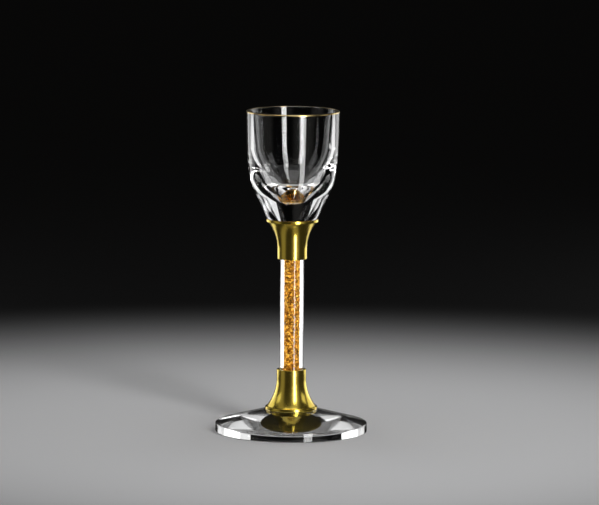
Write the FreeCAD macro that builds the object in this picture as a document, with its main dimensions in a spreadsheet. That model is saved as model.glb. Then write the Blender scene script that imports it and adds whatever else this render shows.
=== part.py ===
import FreeCAD, Part
import os
import Sketcher

# A stemmed shot goblet, built up from turned pieces on one vertical axis.
#
# Frame: +Z up, the origin at the centre of the glass base's underside, millimetres.
# From the bottom: a glass base with a shallow cone on top, a trumpet-shaped metal collar with
# a plate across its mouth, a thick-walled glass tube filled with gilt chips and stopped at both
# ends, the same collar the other way up, and a thick-bottomed glass bowl with a gilt lip.

DIMENSIONS = {
    # Glass base
    "base_radius": 35.3,
    "base_edge": 4.1,
    "base_rise": 6.2,
    "base_top_radius": 12.6,
    "base_edge_rounding": 0.45,
    # Metal collar, used twice: a sleeve that flares out into a rolled lip
    "sleeve_radius": 6.88,
    "flare_start": 11.5,
    "flare_radius": 11.42,
    "flare_end": 17.25,
    "flare_rounding": 20.0,
    "lip_radius": 12.15,
    "lip_height": 1.35,
    "lip_rounding": 0.5,
    "collar_height": 18.8,
    "socket_radius": 5.75,
    "socket_depth": 9.0,
    "web_thickness": 1.4,
    "hollow_foot_radius": 4.6,
    "hollow_mouth_radius": 9.3,
    "seat_depth": 1.5,
    "seat_radius": 11.15,
    "seat_mouth_radius": 11.84,
    "sleeve_rounding": 0.3,
    # Clear adhesive between the pieces
    "glue_film": 0.1,
    # Stem: a glass tube, its gilt filling and its stoppers
    "tube_radius": 5.57,
    "tube_length": 69.5,
    "bore_radius": 2.5,
    "fill_radius": 2.45,
    "plug_length": 3.0,
    "plug_gap": 0.05,
    # Bowl
    "bowl_height": 51.65,
    "bowl_foot_radius": 11.1,
    "knee_radius": 19.5,
    "knee_level": 18.5,
    "knee_rounding": 22.0,
    "waist_radius": 21.33,
    "waist_level": 31.5,
    "waist_rounding": 150.0,
    "bowl_radius": 21.7,
    "cavity_mouth_radius": 19.6,
    "cavity_shoulder_radius": 17.25,
    "cavity_shoulder_level": 27.4,
    "cavity_shoulder_rounding": 34.0,
    "cavity_waist_radius": 12.4,
    "cavity_waist_level": 19.0,
    "cavity_waist_rounding": 11.3,
    "cavity_foot_radius": 3.8,
    "cavity_floor": 10.8,
    "cavity_foot_rounding": 7.6,
    "bowl_lip_rounding": 0.5,
    # Gilding over the top and the outer edge of the bowl's lip
    "gilt_drop": 0.55,
    "gilt_thickness": 0.05,
}

SHEET = "Dimensions"
CLOSE = 1e-4


def value(text):
    """Work out a sum of dimensions, such as 'base_edge + base_rise'."""
    total = 0.0
    sign = 1.0
    for word in text.split():
        if word in ("+", "-"):
            sign = 1.0 if word == "+" else -1.0
        else:
            total += sign * DIMENSIONS[word]
    return total


def bound(text):
    """Turn the same sum into an expression on the sheet."""
    words = text.split()
    return " ".join(word if word in ("+", "-") else f"{SHEET}.{word}" for word in words)


def make_sheet(doc):
    """Keep every driving dimension in one spreadsheet, a name beside each number."""
    sheet = doc.addObject("Spreadsheet::Sheet", SHEET)
    for row, (name, number) in enumerate(DIMENSIONS.items(), start=1):
        sheet.set(f"A{row}", name)
        sheet.set(f"B{row}", str(number))
        sheet.setAlias(f"B{row}", name)
    doc.recompute()


def new_sketch(body, name, role):
    """Start a sketch on one of the body's own origin planes."""
    planes = [plane for plane in body.Origin.OriginFeatures if plane.Role == role]
    sketch = body.newObject("Sketcher::SketchObject", name)
    sketch.AttachmentSupport = (planes[0], [""])
    sketch.MapMode = "FlatFace"
    return sketch


def new_body(doc, label):
    body = doc.addObject("PartDesign::Body", label)
    body.Label = label
    return body


def hold_corner(sketch, line, radius, level):
    """Pin the start of an outline's line to its radius and level; None is on the axis."""
    if radius is None:
        sketch.addConstraint(Sketcher.Constraint("PointOnObject", line, 1, -2))
    else:
        held = Sketcher.Constraint("DistanceX", -1, 1, line, 1, value(radius))
        number = sketch.addConstraint(held)
        sketch.setExpression(f"Constraints[{number}]", bound(radius))
    if level is None:
        sketch.addConstraint(Sketcher.Constraint("PointOnObject", line, 1, -1))
    else:
        held = Sketcher.Constraint("DistanceY", -1, 1, line, 1, value(level))
        number = sketch.addConstraint(held)
        sketch.setExpression(f"Constraints[{number}]", bound(level))


def draw_outline(sketch, outline):
    """Draw a closed ring of straight lines through (radius, level) corners."""
    spots = []
    for radius, level in outline:
        across = 0.0 if radius is None else value(radius)
        up = 0.0 if level is None else value(level)
        spots.append(FreeCAD.Vector(across, up, 0))
    count = len(spots)
    for index in range(count):
        sketch.addGeometry(Part.LineSegment(spots[index], spots[(index + 1) % count]), False)
    for index in range(count):
        following = (index + 1) % count
        sketch.addConstraint(Sketcher.Constraint("Coincident", index, 2, following, 1))
    for index, (radius, level) in enumerate(outline):
        hold_corner(sketch, index, radius, level)


def ring_edges(shape, corner):
    """Name the circular edges of a turned shape that lie at one corner of its outline."""
    radius = value(corner[0])
    level = 0.0 if corner[1] is None else value(corner[1])
    names = []
    for number, edge in enumerate(shape.Edges, start=1):
        if not isinstance(edge.Curve, Part.Circle):
            continue
        near = abs(edge.Curve.Radius - radius) + abs(edge.Curve.Center.z - level)
        if near < CLOSE:
            names.append(f"Edge{number}")
    return names


def turned(doc, label, outline, roundings=()):
    """Turn an outline about the axis and round the corners that are named."""
    body = new_body(doc, label)
    sketch = new_sketch(body, f"{label}_outline", "XZ_Plane")
    draw_outline(sketch, outline)
    doc.recompute()
    turning = body.newObject("PartDesign::Revolution", f"{label}_turning")
    turning.Profile = sketch
    turning.ReferenceAxis = (sketch, ["V_Axis"])
    turning.Angle = 360
    sketch.Visibility = False
    doc.recompute()
    last = turning
    for corner, size in roundings:
        rounding = body.newObject("PartDesign::Fillet", f"{label}_rounding")
        rounding.Base = (last, ring_edges(last.Shape, corner))
        rounding.setExpression("Radius", bound(size))
        doc.recompute()
        last = rounding
    return body


def sleeve(doc, label, outer, inner, length):
    """Pad a plain ring up from its own origin."""
    body = new_body(doc, label)
    sketch = new_sketch(body, f"{label}_ring", "XY_Plane")
    for number, size in enumerate((outer, inner)):
        circle = Part.Circle(FreeCAD.Vector(0, 0, 0), FreeCAD.Vector(0, 0, 1), value(size))
        sketch.addGeometry(circle, False)
        sketch.addConstraint(Sketcher.Constraint("Coincident", number, 3, -1, 1))
        held = sketch.addConstraint(Sketcher.Constraint("Radius", number, value(size)))
        sketch.setExpression(f"Constraints[{held}]", bound(size))
    pad = body.newObject("PartDesign::Pad", f"{label}_pad")
    pad.Profile = sketch
    pad.setExpression("Length", bound(length))
    sketch.Visibility = False
    doc.recompute()
    return body


def rod(doc, label, radius, length):
    """A plain round rod or disc."""
    piece = doc.addObject("Part::Cylinder", label)
    piece.Label = label
    piece.setExpression("Radius", bound(radius))
    piece.setExpression("Height", bound(length))
    return piece


def lift(piece, level, upside_down=False):
    """Stand a piece at its level on the axis, turned over where that is asked."""
    if upside_down:
        over = FreeCAD.Rotation(FreeCAD.Vector(1, 0, 0), 180)
        piece.Placement = FreeCAD.Placement(FreeCAD.Vector(0, 0, 0), over)
    piece.setExpression("Placement.Base.z", bound(level))


# Levels up the stack, each from the one below.
FOOT = "base_edge + base_rise + glue_film"
LOWER_SLEEVE_END = f"{FOOT} + collar_height"
TUBE_FOOT = f"{LOWER_SLEEVE_END} - socket_depth + glue_film"
TUBE_TOP = f"{TUBE_FOOT} + tube_length"
UPPER_SLEEVE_END = f"{TUBE_TOP} + glue_film - socket_depth"
SEAT = f"{UPPER_SLEEVE_END} + collar_height - seat_depth"
BOWL_FOOT = f"{SEAT} + glue_film"


def make_base(doc):
    """Round glass foot: a short upright edge under a shallow cone with a flat top."""
    outline = [
        (None, None),
        ("base_radius", None),
        ("base_radius", "base_edge"),
        ("base_top_radius", "base_edge + base_rise"),
        (None, "base_edge + base_rise"),
    ]
    roundings = [
        (("base_radius", None), "base_edge_rounding"),
        (("base_radius", "base_edge"), "base_edge_rounding"),
    ]
    return [turned(doc, "base", outline, roundings)]


def make_collar(doc, label):
    """Metal trumpet: tube socket in the sleeve, a web, a hollow flare and a seat in the lip."""
    web_top = "socket_depth + web_thickness"
    seat = "collar_height - seat_depth"
    outline = [
        ("socket_radius", None),
        ("sleeve_radius", None),
        ("sleeve_radius", "flare_start"),
        ("flare_radius", "flare_end"),
        ("lip_radius", "collar_height - lip_height"),
        ("lip_radius", "collar_height"),
        ("seat_mouth_radius", "collar_height"),
        ("seat_radius", seat),
        ("hollow_mouth_radius", seat),
        ("hollow_foot_radius", web_top),
        (None, web_top),
        (None, "socket_depth"),
        ("socket_radius", "socket_depth"),
    ]
    roundings = [
        (("sleeve_radius", None), "sleeve_rounding"),
        (("sleeve_radius", "flare_start"), "flare_rounding"),
    ]
    return turned(doc, label, outline, roundings)


def make_collars(doc):
    """The same collar at each end of the stem, with a plate across the lower one's mouth."""
    upper = make_collar(doc, "upper_collar")
    lift(upper, UPPER_SLEEVE_END)
    lower = make_collar(doc, "lower_collar")
    lift(lower, LOWER_SLEEVE_END, upside_down=True)
    plate = rod(doc, "foot_plate", "seat_radius - plug_gap", "seat_depth")
    lift(plate, FOOT)
    return [upper, lower, plate]


def make_stem(doc):
    """Glass tube with its gilt filling between two stoppers."""
    tube = sleeve(doc, "stem_tube", "tube_radius", "bore_radius", "tube_length")
    lift(tube, TUBE_FOOT)
    fill = rod(doc, "gold_fill", "fill_radius", "tube_length - plug_length - plug_length")
    lift(fill, f"{TUBE_FOOT} + plug_length")
    lower_plug = rod(doc, "lower_plug", "bore_radius - plug_gap", "plug_length")
    lift(lower_plug, TUBE_FOOT)
    upper_plug = rod(doc, "upper_plug", "bore_radius - plug_gap", "plug_length")
    lift(upper_plug, f"{TUBE_TOP} - plug_length")
    return [tube, fill, lower_plug, upper_plug]


def make_adhesive(doc):
    """Clear films that hold the glass in the metal and the metal on the glass."""
    under_foot = rod(doc, "base_adhesive", "lip_radius - lip_rounding", "glue_film")
    lift(under_foot, "base_edge + base_rise")
    length = "socket_depth - glue_film - sleeve_rounding"
    lower = sleeve(doc, "lower_tube_adhesive", "socket_radius", "tube_radius", length)
    lift(lower, TUBE_FOOT)
    upper = sleeve(doc, "upper_tube_adhesive", "socket_radius", "tube_radius", length)
    lift(upper, f"{UPPER_SLEEVE_END} + sleeve_rounding")
    seat = sleeve(doc, "bowl_adhesive", "bowl_foot_radius", "hollow_mouth_radius", "glue_film")
    lift(seat, SEAT)
    return [under_foot, lower, upper, seat]


def make_bowl(doc):
    """Tapered glass cup with a thick foot; the cavity narrows in two steps to a rounded floor."""
    outline = [
        (None, None),
        ("bowl_foot_radius", None),
        ("knee_radius", "knee_level"),
        ("waist_radius", "waist_level"),
        ("bowl_radius", "bowl_height - gilt_drop"),
        ("bowl_radius", "bowl_height"),
        ("cavity_mouth_radius", "bowl_height"),
        ("cavity_shoulder_radius", "cavity_shoulder_level"),
        ("cavity_waist_radius", "cavity_waist_level"),
        ("cavity_foot_radius", "cavity_floor"),
        (None, "cavity_floor"),
    ]
    roundings = [
        (("waist_radius", "waist_level"), "waist_rounding"),
        (("knee_radius", "knee_level"), "knee_rounding"),
        (("cavity_shoulder_radius", "cavity_shoulder_level"), "cavity_shoulder_rounding"),
        (("cavity_waist_radius", "cavity_waist_level"), "cavity_waist_rounding"),
        (("cavity_foot_radius", "cavity_floor"), "cavity_foot_rounding"),
        (("bowl_radius", "bowl_height"), "bowl_lip_rounding"),
        (("cavity_mouth_radius", "bowl_height"), "bowl_lip_rounding"),
    ]
    bowl = turned(doc, "bowl", outline, roundings)
    lift(bowl, BOWL_FOOT)
    return [bowl]


def make_gilding(doc):
    """Thin gilt skin that laps over the lip's flat top and its outer rounding."""
    skin_radius = "bowl_radius + gilt_thickness"
    skin_top = "bowl_height + gilt_thickness"
    inner_edge = "cavity_mouth_radius + bowl_lip_rounding"
    outline = [
        (inner_edge, "bowl_height"),
        ("bowl_radius", "bowl_height"),
        ("bowl_radius", "bowl_height - gilt_drop"),
        (skin_radius, "bowl_height - gilt_drop"),
        (skin_radius, skin_top),
        (inner_edge, skin_top),
    ]
    roundings = [
        (("bowl_radius", "bowl_height"), "bowl_lip_rounding"),
        ((skin_radius, skin_top), "bowl_lip_rounding + gilt_thickness"),
    ]
    gilding = turned(doc, "rim_gilding", outline, roundings)
    lift(gilding, BOWL_FOOT)
    return [gilding]


def check_document(doc):
    """Stop if any object of the document failed to compute."""
    for thing in doc.Objects:
        for word in thing.State:
            if word in ("Invalid", "Error"):
                raise RuntimeError(f"{thing.Label}: {word}")


def check_piece(piece):
    """Stop if a piece has no sound solid."""
    shape = piece.Shape
    if shape.isNull() or not shape.isValid() or not shape.Solids:
        raise RuntimeError(f"{piece.Label}: no valid solid")


def main():
    doc = FreeCAD.newDocument("shot_glass")
    make_sheet(doc)
    pieces = []
    for make in (make_base, make_collars, make_stem, make_adhesive, make_bowl, make_gilding):
        pieces.extend(make(doc))
    doc.recompute()
    check_document(doc)
    for piece in pieces:
        check_piece(piece)
    os.makedirs("parts", exist_ok=True)
    for piece in pieces:
        piece.Shape.exportStep(os.path.join("parts", f"{piece.Label}.step"))
        box = piece.Shape.BoundBox
        print(f"{piece.Label}: z {box.ZMin:.2f} to {box.ZMax:.2f}, {piece.Shape.Volume:.0f} mm3")


main()
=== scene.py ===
import math
import random

import bpy
from mathutils import Euler, Matrix, Vector


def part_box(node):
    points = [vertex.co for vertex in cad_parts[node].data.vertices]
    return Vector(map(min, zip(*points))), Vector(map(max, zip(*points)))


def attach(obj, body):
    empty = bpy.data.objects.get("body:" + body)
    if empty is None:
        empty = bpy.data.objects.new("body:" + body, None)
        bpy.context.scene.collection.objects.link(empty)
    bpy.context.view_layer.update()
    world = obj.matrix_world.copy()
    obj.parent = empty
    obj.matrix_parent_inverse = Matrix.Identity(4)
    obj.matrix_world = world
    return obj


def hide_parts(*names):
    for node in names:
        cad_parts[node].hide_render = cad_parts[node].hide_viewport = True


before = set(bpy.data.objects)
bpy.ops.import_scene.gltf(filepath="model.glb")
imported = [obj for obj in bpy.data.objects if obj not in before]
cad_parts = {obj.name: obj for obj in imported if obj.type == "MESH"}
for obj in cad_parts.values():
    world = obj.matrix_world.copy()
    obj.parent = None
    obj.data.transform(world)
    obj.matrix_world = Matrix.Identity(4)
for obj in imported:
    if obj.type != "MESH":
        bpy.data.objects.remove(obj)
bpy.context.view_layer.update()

# A stemmed shot glass. Outlines are in millimetres, and everything that Blender holds is in metres.
MM = 0.001
BODY = "root"
GLASS_IOR = 1.52
EVEN = (1.0, 1.0, 1.0)


# ---------------------------------------------------------------------------
# Materials: arithmetic on sockets, and one method for every other node
# ---------------------------------------------------------------------------

class Tap:
    """One output of a node. Arithmetic on it adds Math nodes, so it is for numbers only."""

    def __init__(self, finish, socket):
        self.finish = finish
        self.socket = socket

    def _math(self, operation, first, second):
        return self.finish.node("Math", {"operation": operation}, {0: first, 1: second})

    def __add__(self, other):
        return self._math("ADD", self, other)

    def __radd__(self, other):
        return self._math("ADD", other, self)

    def __mul__(self, other):
        return self._math("MULTIPLY", self, other)

    def __rmul__(self, other):
        return self._math("MULTIPLY", other, self)

    def __pow__(self, other):
        return self._math("POWER", self, other)

    def __rpow__(self, other):
        return self._math("POWER", other, self)


class Finish:
    """One material, or the light of the room, and the nodes that make it."""

    def __init__(self, name, shelf=bpy.data.materials):
        self.owner = shelf.new(name)
        self.owner.use_nodes = True
        self.tree = self.owner.node_tree
        self.tree.nodes.clear()

    def node(self, kind, settings=None, inputs=None, take=0):
        """Add a node, set it up, feed its sockets and hand back one output as a Tap."""
        made = self.tree.nodes.new("ShaderNode" + kind)
        for key, setting in (settings or {}).items():
            if key == "stops":
                self._set_stops(made.color_ramp, setting)
            else:
                setattr(made, key, setting)
        for key, given in (inputs or {}).items():
            socket = self._find(made.inputs, key)
            if isinstance(given, Tap):
                self.tree.links.new(given.socket, socket)
            else:
                socket.default_value = given
        return Tap(self, self._find(made.outputs, take)) if made.outputs else made

    @staticmethod
    def _find(sockets, key):
        """A socket by its number, its identifier or its name."""
        if isinstance(key, int):
            return sockets[key]
        for socket in sockets:
            if key in (socket.identifier, socket.name):
                return socket
        raise KeyError(key)

    @staticmethod
    def _set_stops(ramp, stops):
        """Give a ramp its stops, each a place and a colour."""
        while len(ramp.elements) < len(stops):
            ramp.elements.new(0.5)
        for element, (place, shade) in zip(ramp.elements, stops):
            element.position = place
            element.color = shade

    def place(self, stretch=EVEN):
        """Where a point is on the object, in metres, stretched for streaks and rings."""
        spot = self.node("TexCoord", take="Object")
        return self.node("Mapping", {}, {"Vector": spot, "Scale": stretch})

    def noise(self, scale, detail, roughness=0.5, stretch=EVEN):
        """Soft random mottling; a larger scale is finer."""
        return self.node("TexNoise", {}, {
            "Vector": self.place(stretch), "Scale": scale, "Detail": detail, "Roughness": roughness,
        }, take="Fac")

    def blend(self, amount, first, second):
        """Mix two colours by an amount from 0 to 1."""
        return self.node("Mix", {"data_type": "RGBA"}, {
            "Factor_Float": amount, "A_Color": first, "B_Color": second,
        }, take="Result_Color")

    def fade(self, value, start, end, top=1.0, curve="LINEAR"):
        """Nothing where the value is at the start, rising to the top where it is at the end."""
        return self.node("MapRange", {"interpolation_type": curve}, {
            "Value": value, "From Min": start, "From Max": end, "To Max": top,
        }, take="Result")

    def vector(self, operation, *given, take="Vector"):
        """Arithmetic on whole positions and directions."""
        return self.node("VectorMath", {"operation": operation}, dict(enumerate(given)), take)

    def bump(self, height, strength, depth):
        """Relief on the surface, with its depth in millimetres."""
        return self.node("Bump", {}, {
            "Height": height, "Strength": strength, "Distance": depth * MM,
        }, take="Normal")

    def skin(self, inputs):
        """Finish with the Principled shader, fed with what is given."""
        shader = self.node("BsdfPrincipled", {}, inputs, take="BSDF")
        self.node("OutputMaterial", {}, {"Surface": shader})
        return self.owner


def colour(red, green, blue):
    """An opaque colour, in linear light."""
    return (red, green, blue, 1.0)


def clear_glass(name, streak=EVEN):
    """Colourless crystal: hardly any grain, and a faint waviness from forming."""
    mix = Finish(name)
    wave = mix.noise(scale=90.0, detail=1.0, stretch=streak)
    haze = mix.noise(scale=260.0, detail=4.0, roughness=0.6)
    faint_green = colour(0.985, 0.992, 0.99)
    water_white = colour(1.0, 1.0, 1.0)
    return mix.skin({
        "Base Color": mix.blend(wave, faint_green, water_white),
        "Roughness": haze ** 4.0 * 0.01,
        "IOR": GLASS_IOR,
        "Transmission Weight": 1.0,
        "Normal": mix.bump(wave, strength=0.003, depth=0.1),
    })


def gold_plate(name, shade=1.0, shaded_cup=False):
    """Polished pale gold over brass, with fine turning marks and a little handling haze.

    A low shade darkens the whole metal as painted shade. With the shaded cup, the faces that look
    up, under the glass, are painted brown as painted shade."""
    mix = Finish(name)
    cloud = mix.noise(scale=120.0, detail=5.0, roughness=0.55)
    turning = mix.noise(scale=420.0, detail=2.0, stretch=(0.5, 0.5, 14.0))
    specks = mix.noise(scale=2600.0, detail=2.0)
    deep_gold = colour(0.84 * shade, 0.6 * shade, 0.08 * shade)
    pale_gold = colour(0.93 * shade, 0.73 * shade, 0.14 * shade)
    cup_shade_brown = colour(0.46, 0.25, 0.04)
    tint = mix.blend(cloud, deep_gold, pale_gold)
    # Painted shade: the faces that look up, under the glass, turn brown.
    if shaded_cup:
        facing = mix.node("NewGeometry", take="Normal")
        upward = mix.node("SeparateXYZ", {}, {0: facing}, take="Z")
        tint = mix.blend(mix.fade(upward, start=0.1, end=0.3), tint, cup_shade_brown)
    return mix.skin({
        "Base Color": tint,
        "Metallic": 1.0,
        "Roughness": 0.13 + cloud * 0.1 + turning * 0.05,
        "Normal": mix.bump(turning * 0.6 + specks * 0.4, strength=0.05, depth=0.05),
    })


def fired_gilding(name):
    """Thin fired gold: a brighter line with a slight orange-peel."""
    mix = Finish(name)
    peel = mix.noise(scale=900.0, detail=3.0)
    wear = mix.noise(scale=70.0, detail=4.0)
    rubbed = colour(0.8, 0.6, 0.25)
    bright = colour(0.93, 0.76, 0.4)
    return mix.skin({
        "Base Color": mix.blend(wear, rubbed, bright),
        "Metallic": 1.0,
        "Roughness": 0.12 + wear * 0.12,
        "Normal": mix.bump(peel, strength=0.15, depth=0.03),
    })


def gilt_chips(name):
    """Metallic chips; each has its own tint between deep orange and yellow gold.

    They carry a painted glow in their own tint, which stands in for the light that the glass round
    them holds back."""
    mix = Finish(name)
    tint = mix.node("Attribute", {"attribute_name": "chip_tint"}, take="Color")
    grain = mix.noise(scale=5000.0, detail=2.0)
    yellow_gold = colour(1.0, 0.66, 0.08)
    return mix.skin({
        "Base Color": mix.blend(grain * 0.2, tint, yellow_gold),
        "Metallic": 0.6,
        "Roughness": 0.2 + grain * 0.2,
        # Painted glow: each chip shines by itself in its own tint, though it is no lamp.
        "Emission Color": tint,
        "Emission Strength": 0.95,
        "Normal": mix.bump(grain, strength=0.3, depth=0.03),
    })


def packed_core(name):
    """What shows between the chips: more chips, painted lit orange in the middle of each lump and
    with a painted shade of red brown towards the gaps.
    """
    mix = Finish(name)
    lumps = mix.node("TexVoronoi", {}, {"Vector": mix.place(), "Scale": 2200.0}, take="Distance")
    lit_orange = colour(0.95, 0.5, 0.1)
    deep_orange = colour(0.6, 0.26, 0.03)
    gap_shade_brown = colour(0.2, 0.07, 0.01)
    # Painted light and shade: lit orange at each lump's middle, darkening to painted shade in the
    # gaps between lumps.
    stops = [(0.0, lit_orange), (0.45, deep_orange), (0.9, gap_shade_brown)]
    return mix.skin({
        "Base Color": mix.node("ValToRGB", {"stops": stops}, {"Fac": lumps}, take="Color"),
        "Metallic": 0.7,
        "Roughness": 0.35 + lumps * 0.2,
        "Normal": mix.bump(lumps, strength=0.8, depth=0.2),
    })


def silicone(name):
    """Milky stopper rubber."""
    mix = Finish(name)
    cloud = mix.noise(scale=700.0, detail=4.0)
    putty = colour(0.72, 0.7, 0.64)
    milk = colour(0.84, 0.82, 0.77)
    return mix.skin({
        "Base Color": mix.blend(cloud, putty, milk),
        "Roughness": 0.45 + cloud * 0.15,
        "Normal": mix.bump(cloud, strength=0.2, depth=0.05),
    })


def cured_adhesive(name):
    """Clear cured adhesive, faintly rippled."""
    mix = Finish(name)
    ripple = mix.noise(scale=500.0, detail=3.0)
    return mix.skin({
        "Base Color": colour(0.99, 0.99, 0.97),
        "Roughness": ripple * 0.04,
        "IOR": GLASS_IOR,
        "Transmission Weight": 1.0,
        "Normal": mix.bump(ripple, strength=0.1, depth=0.05),
    })


def pale_floor(name):
    """Matt pale table with a painted pool of light round the glass, darkening to black with
    distance in metres.
    """
    mix = Finish(name)
    reach = mix.vector("LENGTH", mix.node("TexCoord", take="Object"), take="Value")
    far = mix.fade(reach, start=0.1, end=0.46, curve="SMOOTHERSTEP")
    grain = mix.noise(scale=900.0, detail=5.0)
    pale_grey = colour(0.74, 0.74, 0.75)
    painted_dark = colour(0.002, 0.002, 0.0022)
    return mix.skin({
        # Painted light: pale near the glass, fading to a painted dark further out.
        "Base Color": mix.blend(far, pale_grey, painted_dark),
        "Roughness": 0.55 + grain * 0.15,
        "Specular IOR Level": 0.08,
        "Normal": mix.bump(grain, strength=0.05, depth=0.1),
    })


# ---------------------------------------------------------------------------
# Pieces and where they stand
# ---------------------------------------------------------------------------

def in_scene(name, data):
    """Put a mesh, a lamp or a camera into the scene."""
    made = bpy.data.objects.new(name, data)
    bpy.context.scene.collection.objects.link(made)
    return made


def built(name, vertices, faces, material):
    """Make one object from its points and faces."""
    mesh = bpy.data.meshes.new(name)
    mesh.from_pydata(vertices, [], faces)
    mesh.materials.append(material)
    return in_scene(name, mesh)


def stand_for(piece, node):
    """Let a piece take the place of a CAD node."""
    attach(piece, BODY)
    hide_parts(node)


def low_level(node):
    """The level of a CAD node's underside, in millimetres."""
    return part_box(node)[0].z / MM


def high_level(node):
    """The level of a CAD node's top, in millimetres."""
    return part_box(node)[1].z / MM


# ---------------------------------------------------------------------------
# Turned pieces
# ---------------------------------------------------------------------------

# An arc of this radius in millimetres or more gets the fine steps; both steps are in degrees.
FINE_FROM = 5.0
FINE_STEP = 1.2
COARSE_STEP = 11.0
FEWEST_STEPS = 4

# Steps round the axis: for the widest glass, for what lies inside the stem, and for the rest.
GLASS_STEPS = 256
INNER_STEPS = 64
ROUND_STEPS = 192

# A radius that counts as nothing, and the bend in degrees that stays a crisp edge.
ON_AXIS = 1e-6
SHARP_ANGLE = 28


def rounded(outline):
    """Follow corners (radius, level, rounding), in millimetres, with arcs at the rounded ones."""
    points = []
    count = len(outline)
    for index, (radius, level, rounding) in enumerate(outline):
        here = Vector((radius, level))
        if not rounding:
            points.append(here)
            continue
        back = (Vector(outline[index - 1][:2]) - here).normalized()
        ahead = (Vector(outline[(index + 1) % count][:2]) - here).normalized()
        half = math.acos(max(-1.0, min(1.0, back.dot(ahead)))) / 2
        # The arc's middle is on the line that halves the corner, and it starts on the side behind.
        middle = here + (back + ahead).normalized() * (rounding / math.sin(half))
        start = here + back * (rounding / math.tan(half)) - middle
        turn = math.pi - 2 * half
        side = 1.0 if back.x * ahead.y - back.y * ahead.x < 0 else -1.0
        step_angle = COARSE_STEP if rounding < FINE_FROM else FINE_STEP
        steps = max(FEWEST_STEPS, math.ceil(math.degrees(turn) / step_angle))
        for step in range(steps + 1):
            swing = Matrix.Rotation(side * turn * step / steps, 2)
            points.append(middle + swing @ start)
    return points


def turned(name, outline, level, material, over=False, steps=ROUND_STEPS):
    """Turn an outline about the axis into one piece, standing at its level in millimetres.

    An outline that starts off the axis makes a ring, and over turns the piece upside down."""
    vertices = []
    rings = []
    for point in rounded(outline):
        up = (level - point.y if over else level + point.y) * MM
        if point.x < ON_AXIS:
            rings.append([len(vertices)])
            vertices.append((0.0, 0.0, up))
            continue
        rings.append(list(range(len(vertices), len(vertices) + steps)))
        across = point.x * MM
        for step in range(steps):
            angle = 2 * math.pi * step / steps
            vertices.append((across * math.cos(angle), across * math.sin(angle), up))
    pairs = list(zip(rings, rings[1:]))
    if len(rings[0]) > 1:
        pairs.append((rings[-1], rings[0]))
    faces = []
    for low, high in pairs:
        for step in range(steps):
            after = (step + 1) % steps
            if len(low) == 1:
                face = (low[0], high[after], high[step])
            elif len(high) == 1:
                face = (low[step], low[after], high[0])
            else:
                face = (low[step], low[after], high[after], high[step])
            faces.append(face[::-1] if over else face)
    piece = built(name, vertices, faces, material)
    piece.data.shade_smooth()
    piece.data.set_sharp_from_angle(angle=math.radians(SHARP_ANGLE))
    return piece


def make_base(glass):
    """The glass foot: flat underneath, with an upright edge and a shallow cone on top."""
    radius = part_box("base")[1].x / MM
    height = high_level("base")
    edge_height = 4.1
    edge_round = 0.45
    flat_radius = 12.6
    outline = [
        (0, 0, 0),
        (radius, 0, edge_round),
        (radius, edge_height, edge_round),
        (flat_radius, height, 0),
        (0, height, 0),
    ]
    piece = turned("glass_base", outline, 0.0, glass, steps=GLASS_STEPS)
    stand_for(piece, "base")


# The collar's sizes; its levels run from the sleeve's end, at 0, to the lip.
COLLAR_HEIGHT = high_level("upper_collar") - low_level("upper_collar")
SOCKET_RADIUS = 5.75
SOCKET_DEPTH = 9.0
SLEEVE_RADIUS = 6.88
FLARE_LEVEL = 11.5
FLARE_ROUND = 20.0
UNDER_LIP = (11.42, 17.25)
LIP_RADIUS = 12.15
LIP_HEIGHT = 1.35
LIP_ROUND = 0.25
MOUTH_RADIUS = 11.84
SEAT_DEPTH = 1.5
SEAT_RADIUS = 11.15
SEAT_INNER = 9.3
WEB_RADIUS = 4.6
WEB_TOP = 10.4


def collar_outline():
    """A collar's section: along its socket, up its outside, and down its cup to the web."""
    seat = COLLAR_HEIGHT - SEAT_DEPTH
    return [
        (0, SOCKET_DEPTH, 0),
        (SOCKET_RADIUS, SOCKET_DEPTH, 0.4),
        (SOCKET_RADIUS, 0, 0),
        (SLEEVE_RADIUS, 0, 0.3),
        (SLEEVE_RADIUS, FLARE_LEVEL, FLARE_ROUND),
        (*UNDER_LIP, 0.15),
        (LIP_RADIUS, COLLAR_HEIGHT - LIP_HEIGHT, LIP_ROUND),
        (LIP_RADIUS, COLLAR_HEIGHT, LIP_ROUND),
        (MOUTH_RADIUS, COLLAR_HEIGHT, 0.05),
        (SEAT_RADIUS, seat, 0),
        (SEAT_INNER, seat, 0.2),
        (WEB_RADIUS, WEB_TOP, 0.5),
        (0, WEB_TOP, 0),
    ]


def make_collars(metal, cup_metal):
    """The two trumpets: one turning, upright under the bowl and upside down on the base."""
    outline = collar_outline()
    upper = turned("upper_trumpet", outline, low_level("upper_collar"), cup_metal)
    stand_for(upper, "upper_collar")
    lower = turned("lower_trumpet", outline, high_level("lower_collar"), metal, over=True)
    stand_for(lower, "lower_collar")


def make_foot_disc(metal):
    """The disc across the lower collar's mouth. It narrows upwards, and it is sunk a little into
    the base, as metal looks that is wetted by adhesive."""
    radius = 11.9
    top_radius = 11.1
    edge_height = 0.4
    edge_round = 0.05
    sunk = 0.02
    bottom = high_level("base") - sunk
    top = high_level("foot_plate")
    outline = [
        (0, bottom, 0),
        (radius, bottom, edge_round),
        (radius, bottom + edge_height, edge_round),
        (top_radius, top, 0.1),
        (0, top, 0),
    ]
    stand_for(turned("foot_disc", outline, 0.0, metal), "foot_plate")


# The bowl's radius at the lip, and how far the gilding comes down the outside from it.
LIP_OUTER = 21.7
LIP_LINE_DEPTH = 0.55


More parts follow.
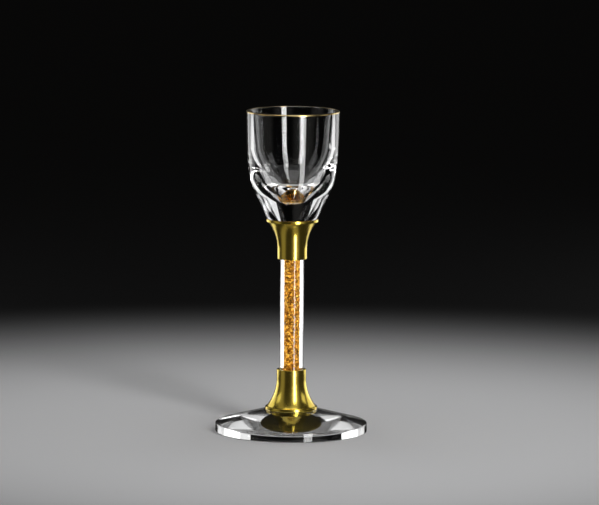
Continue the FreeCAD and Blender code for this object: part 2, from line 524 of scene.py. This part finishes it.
def make_bowl(glass):
    """The glass cup: from its ground foot up the outside, over the lip, and down to the floor."""
    level = low_level("bowl")
    height = high_level("bowl") - level
    foot_radius = 11.1
    lip_inner = 19.6
    lip_round = 0.5
    floor_level = 10.8
    outline = [
        (0, 0, 0),
        (foot_radius, 0, 0.15),
        (19.5, 18.5, 22.0),
        (21.33, 31.5, 150.0),
        (LIP_OUTER, height - LIP_LINE_DEPTH, 0),
        (LIP_OUTER, height, lip_round),
        (lip_inner, height, lip_round),
        (17.25, 27.4, 34.0),
        (12.4, 19.0, 11.3),
        (3.8, floor_level, 7.6),
        (0, floor_level, 0),
    ]
    piece = turned("glass_bowl", outline, level, glass, steps=GLASS_STEPS)
    stand_for(piece, "bowl")


def make_lip_line(gilding):
    """The gilding over the lip's top and outer edge, set a little way into its glass."""
    level = low_level("bowl")
    height = high_level("bowl") - level
    inner = 20.1
    sunk = 0.1
    skin = 0.05
    outline = [
        (inner, height - sunk, 0),
        (LIP_OUTER - sunk, height - sunk, 0.4),
        (LIP_OUTER - sunk, height - LIP_LINE_DEPTH, 0),
        (LIP_OUTER + skin, height - LIP_LINE_DEPTH, 0),
        (LIP_OUTER + skin, height + skin, 0.55),
        (inner, height + skin, 0.02),
    ]
    line = turned("lip_line", outline, level, gilding, steps=GLASS_STEPS)
    stand_for(line, "rim_gilding")


def make_tube(glass):
    """The stem glass. Clear resin of the same refraction fills its bore between the plugs, so
    the two are one body here, and only the ends of the bore stay open for the plugs."""
    low = low_level("stem_tube")
    length = high_level("stem_tube") - low
    plug_end = high_level("lower_plug") - low
    radius = 5.57
    bore_radius = 2.5
    end_round = 0.3
    outline = [
        (0, plug_end, 0),
        (bore_radius, plug_end, 0.1),
        (bore_radius, 0, 0.2),
        (radius, 0, end_round),
        (radius, length, end_round),
        (bore_radius, length, 0.2),
        (bore_radius, length - plug_end, 0.1),
        (0, length - plug_end, 0),
    ]
    stand_for(turned("glass_tube", outline, low, glass), "stem_tube")


def rod(name, node, radius, material):
    """A plain rod as long as a CAD node, with its ends eased."""
    low = low_level(node)
    length = high_level(node) - low
    ease = 0.3
    outline = [(0, 0, 0), (radius, 0, ease), (radius, length, ease), (0, length, 0)]
    return turned(name, outline, low, material, steps=INNER_STEPS)


def make_plugs(rubber):
    """The stoppers at the two ends of the bore."""
    radius = 2.44
    for node in ("upper_plug", "lower_plug"):
        stand_for(rod(node + "_rubber", node, radius, rubber), node)


def film(name, level, radii, heights, clear, rounding=0):
    """A thin ring of adhesive between two radii, and two heights over its level."""
    inner, outer = radii
    bottom, top = heights
    outline = [
        (inner, bottom, rounding),
        (outer, bottom, rounding),
        (outer, top, rounding),
        (inner, top, rounding),
    ]
    return turned(name, outline, level, clear)


def make_adhesive(clear):
    """Films between the pieces, each a little short of the surfaces that it joins, and the bead
    that is squeezed out round the foot."""
    sleeve_radii = (5.6, 5.72)
    seat_radii = (9.4, 11.0)
    seat_heights = (0.02, 0.08)
    for node in ("upper_tube_adhesive", "lower_tube_adhesive"):
        low = low_level(node)
        length = high_level(node) - low
        sleeve = film(node + "_film", low, sleeve_radii, (0, length), clear, rounding=0.03)
        stand_for(sleeve, node)
    seat = film("bowl_seat_film", low_level("bowl_adhesive"), seat_radii, seat_heights, clear)
    stand_for(seat, "bowl_adhesive")
    bead = [(12.0, 0.01, 0), (12.5, 0.01, 0), (12.15, 0.2, 0), (12.0, 0.2, 0)]
    ring = turned("foot_bead", bead, high_level("base"), clear)
    stand_for(ring, "base_adhesive")


# ---------------------------------------------------------------------------
# The chips in the stem
# ---------------------------------------------------------------------------

CHIP_COUNT = 9500
CHIP_CORNERS = 5
CHIP_SEED = 41
CORE_RADIUS = 1.95
FILL_RADIUS = 2.46

# Ranges to draw from: millimetres for sizes, radians for the lean.
CHIP_REACH = (0.2, 0.44)
CHIP_THICKNESS = (0.02, 0.05)
CHIP_LEAN = (0, 6.28)
CORNER_REACH = (0.75, 1.1)
CORNER_SHIFT = (-0.25, 0.25)

# Chip centres lie between this radius and 0.7 of it, evenly over the ring.
CENTRE_RADIUS = 2.42
CENTRE_SPREAD = (0.5, 1.0)


def chip_tint(draw):
    """A dull chip is red brown and a bright one is yellow gold; few are bright. The tint also
    colours the chip's painted glow.
    """
    dullest = 0.02
    span = 1.15
    rarity = 2.1
    bright = dullest + span * draw.uniform(0.0, 1.0) ** rarity
    green = bright * (0.34 + 0.27 * bright)
    blue = 0.1 * bright ** 2.4
    return (bright, green, blue, 1.0)


def chip(draw, low, length, vertices, faces):
    """Add one thin five-cornered chip of random size, place and lean, held inside the bore."""
    reach = draw.uniform(*CHIP_REACH)
    thickness = draw.uniform(*CHIP_THICKNESS)
    radius = CENTRE_RADIUS * math.sqrt(draw.uniform(*CENTRE_SPREAD))
    angle = draw.uniform(0, 2 * math.pi)
    turn = Euler([draw.uniform(*CHIP_LEAN) for _ in range(3)]).to_matrix()
    centre = Vector((radius * math.cos(angle), radius * math.sin(angle), draw.uniform(0, length)))
    start = len(vertices)
    for side in (-0.5, 0.5):
        for number in range(CHIP_CORNERS):
            swing = 2 * math.pi * (number + draw.uniform(*CORNER_SHIFT)) / CHIP_CORNERS
            out = reach * draw.uniform(*CORNER_REACH)
            corner = Vector((out * math.cos(swing), out * math.sin(swing), side * thickness))
            spot = centre + turn @ corner
            across = math.hypot(spot.x, spot.y)
            if across > FILL_RADIUS:
                spot.x *= FILL_RADIUS / across
                spot.y *= FILL_RADIUS / across
            spot.z = min(max(spot.z, 0.0), length)
            vertices.append((spot.x * MM, spot.y * MM, (spot.z + low) * MM))
    under = list(range(start, start + CHIP_CORNERS))
    upper = list(range(start + CHIP_CORNERS, start + 2 * CHIP_CORNERS))
    faces.append(tuple(reversed(under)))
    faces.append(tuple(upper))
    for number in range(CHIP_CORNERS):
        after = (number + 1) % CHIP_CORNERS
        faces.append((under[number], under[after], upper[after], upper[number]))


def make_chips(foil, core):
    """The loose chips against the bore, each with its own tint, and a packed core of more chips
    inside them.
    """
    draw = random.Random(CHIP_SEED)
    low = low_level("gold_fill")
    length = high_level("gold_fill") - low
    vertices = []
    faces = []
    for _ in range(CHIP_COUNT):
        chip(draw, low, length, vertices, faces)
    piece = built("gilt_chips", vertices, faces, foil)
    tint = piece.data.color_attributes.new("chip_tint", "FLOAT_COLOR", "POINT")
    per_chip = 2 * CHIP_CORNERS
    for first in range(0, len(vertices), per_chip):
        shade = chip_tint(draw)
        for point in range(first, first + per_chip):
            tint.data[point].color = shade
    stand_for(piece, "gold_fill")
    stand_for(rod("packed_core", "gold_fill", CORE_RADIUS, core), "gold_fill")


# ---------------------------------------------------------------------------
# Studio
# ---------------------------------------------------------------------------

# The table's radii, and how far it is under the glass, in metres.
FLOOR_STEPS = 96
FLOOR_GAP = 0.0002
NEAR_FLOOR = 0.12
FLOOR_REACH = 4.0

# The height, on the stem, from which the lamps' directions are measured.
LAMP_EYE = 0.07


def circle(radius):
    """Points round the axis, level with the table top."""
    angles = [2 * math.pi * step / FLOOR_STEPS for step in range(FLOOR_STEPS)]
    return [(radius * math.cos(angle), radius * math.sin(angle), 0.0) for angle in angles]


def table_part(name, vertices, faces, cloth, through_glass):
    """Part of the table top. Polished faces don't reflect it, or it would hide the lamps."""
    part = built(name, vertices, faces, cloth)
    part.location.z = -FLOOR_GAP
    part.visible_glossy = False
    part.visible_transmission = through_glass


def make_table(cloth):
    """A disc that shows through the glass, and the rest of the table as a ring round it."""
    near = circle(NEAR_FLOOR)
    table_part("floor_near", near, [tuple(range(FLOOR_STEPS))], cloth, through_glass=True)
    ring = []
    for step in range(FLOOR_STEPS):
        after = (step + 1) % FLOOR_STEPS
        ring.append((step, after, FLOOR_STEPS + after, FLOOR_STEPS + step))
    table_part("floor", circle(FLOOR_REACH) + near, ring, cloth, through_glass=False)


def soft_lamp(name, radiance, width, height):
    """A rectangular lamp of even brightness, out of the camera's sight."""
    data = bpy.data.lights.new(name, "AREA")
    data.shape = "RECTANGLE"
    data.size = width
    data.size_y = height
    data.energy = radiance * math.pi * data.size * data.size_y
    lamp = in_scene(name, data)
    lamp.visible_camera = False
    return lamp


def panel(name, radiance, azimuths, elevations, distance=0.9):
    """An upright soft lamp that fills a range of directions, in degrees, as the glass sees them.

    Azimuth 0 is behind the object and grows to the right, and elevation 0 is level."""
    middle = math.radians(sum(azimuths) / 2)
    half = math.radians(azimuths[1] - azimuths[0]) / 2
    low, high = (distance * math.tan(math.radians(edge)) for edge in elevations)
    lamp = soft_lamp(name, radiance, 2 * distance * math.tan(half), high - low)
    outward = Vector((math.sin(middle), math.cos(middle), 0.0))
    lamp.location = outward * distance + Vector((0.0, 0.0, LAMP_EYE + (low + high) / 2))
    lamp.rotation_euler = outward.to_track_quat("Z", "Y").to_euler()


def make_lamps():
    """Tall panels for the bowl and stem, slim ones for their edges, and a lamp overhead."""
    tall = (-10, 35)
    below = (-42, 8)
    above = (16, 34)
    panel("left_panel", radiance=0.9, azimuths=(-67, -30), elevations=tall)
    panel("right_panel", radiance=0.9, azimuths=(22, 67), elevations=tall)
    panel("left_edge", radiance=1.0, azimuths=(-50, -30), elevations=below, distance=0.8)
    panel("right_edge", radiance=1.0, azimuths=(30, 50), elevations=below, distance=0.8)
    panel("left_side", radiance=0.7, azimuths=(-105, -80), elevations=above)
    panel("right_side", radiance=0.8, azimuths=(80, 105), elevations=above)
    panel("strip", radiance=10.0, azimuths=(148, 161), elevations=(-47, 48))
    overhead = soft_lamp("overhead", radiance=1.5, width=0.8, height=0.8)
    overhead.location.z = 1.1


# The room's own glow, and two bands of light in it: azimuth and spread in degrees, and strength.
ROOM_GLOW = 0.03
ROOM_BANDS = ((152, 34, 0.26), (-108, 26, 0.2))


def light_room():
    """A dim glow that only polished outsides reflect: two soft upright bands on a darker room."""
    glow = Finish("studio", bpy.data.worlds)
    way = glow.node("TexCoord", take="Generated")
    level = glow.vector("NORMALIZE", glow.vector("MULTIPLY", way, (1.0, 1.0, 0.0)))
    strength = ROOM_GLOW
    for azimuth, spread, gain in ROOM_BANDS:
        turn = math.radians(azimuth)
        middle = (math.sin(turn), math.cos(turn), 0.0)
        facing = glow.vector("DOT_PRODUCT", level, middle, take="Value")
        edge = math.cos(math.radians(spread))
        strength = strength + glow.fade(facing, start=edge, end=1.0, top=gain, curve="SMOOTHSTEP")
    warm_white = colour(1.0, 0.97, 0.92)
    back = glow.node("Background", {}, {"Color": warm_white, "Strength": strength})
    glow.node("OutputWorld", {}, {"Surface": back})
    world = glow.owner
    bpy.context.scene.world = world
    world.cycles_visibility.camera = False
    world.cycles_visibility.diffuse = False
    world.cycles_visibility.transmission = False


def make_camera():
    """A long lens that looks slightly down on the glass, with the framing of a catalogue shot."""
    distance = 2.508
    elevation = math.radians(7.3)
    lean = math.radians(0.39)
    aim = Vector((0.0034, 0.0, 0.0838))
    data = bpy.data.cameras.new("camera")
    data.sensor_width = 36.0
    data.lens = 324.5
    data.clip_start = 0.1
    data.clip_end = 20.0
    camera = in_scene("camera", data)
    back = Vector((0.0, -math.cos(elevation), math.sin(elevation)))
    camera.location = aim + back * distance
    upright = back.to_track_quat("Z", "Y").to_matrix().to_4x4()
    camera.rotation_euler = (Matrix.Rotation(lean, 4, back) @ upright).to_euler()
    bpy.context.scene.camera = camera


def set_light_paths():
    """Let light pass through several walls of glass."""
    scene = bpy.context.scene
    scene.cycles.max_bounces = 32
    scene.cycles.transmission_bounces = 32
    scene.cycles.glossy_bounces = 16
    scene.cycles.use_denoising = True
    scene.view_settings.view_transform = "Standard"


make_base(clear_glass("base_glass"))
make_collars(gold_plate("gold_plate"), gold_plate("gold_plate_with_shaded_cup", shaded_cup=True))
# The foot disc's metal is darkened to 0.3 of its colour as painted shade.
make_foot_disc(gold_plate("shaded_foot_plate", shade=0.3))
make_bowl(clear_glass("bowl_glass"))
make_lip_line(fired_gilding("fired_gilding"))
make_tube(clear_glass("tube_glass", streak=(1.0, 1.0, 0.3)))
make_plugs(silicone("silicone"))
make_adhesive(cured_adhesive("cured_adhesive"))
make_chips(gilt_chips("gilt_chips"), packed_core("packed_core"))
make_table(pale_floor("pale_floor"))
make_lamps()
light_room()
make_camera()
set_light_paths()
